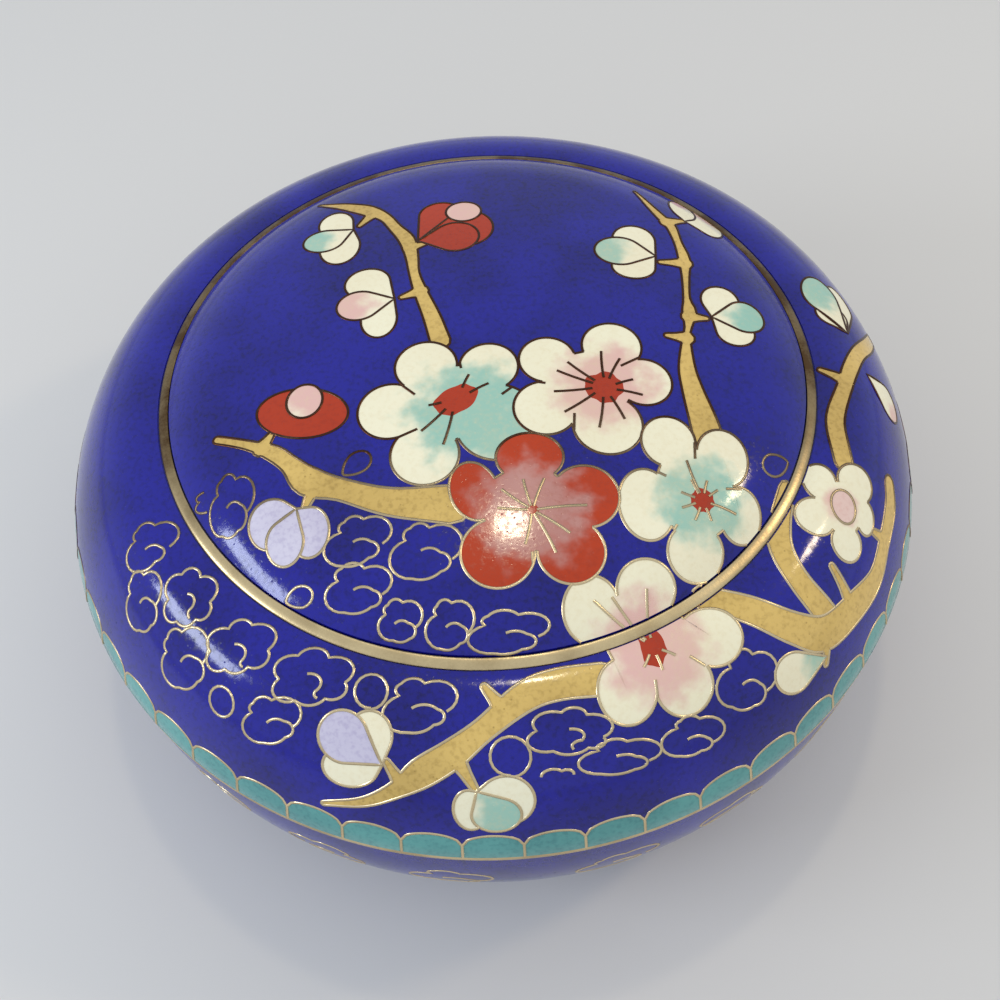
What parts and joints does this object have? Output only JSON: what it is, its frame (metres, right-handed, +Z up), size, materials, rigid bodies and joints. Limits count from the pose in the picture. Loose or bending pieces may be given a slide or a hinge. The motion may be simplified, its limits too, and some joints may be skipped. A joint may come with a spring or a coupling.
{
  "type": "cloisonne enamel box",
  "caption": "Round lidded box of enamelled copper with brass rims and a foot ring; the domed lid lifts off and holds small things inside.",
  "frame": {"origin": "centre of the foot ring's underside, on the surface that the box stands on", "axes": "+Z up through the middle of the lid; -Y towards the near side of the lid's picture, with +X on its right"},
  "size_m": [0.1, 0.1, 0.0484],
  "materials": {
    "cobalt_enamel": "polished cobalt glass enamel over copper, inlaid with coloured flowers between flush gilt wires",
    "gilt_brass": "thinly gilt brass, rubbed and a little dull"
  },
  "bodies": {
    "root": {"lid_shell": "cobalt_enamel", "crown_band": "gilt_brass", "lid_rim": "gilt_brass", "bowl_shell": "cobalt_enamel", "bowl_rim": "gilt_brass", "foot_ring": "gilt_brass"}
  },
  "joints": []
}
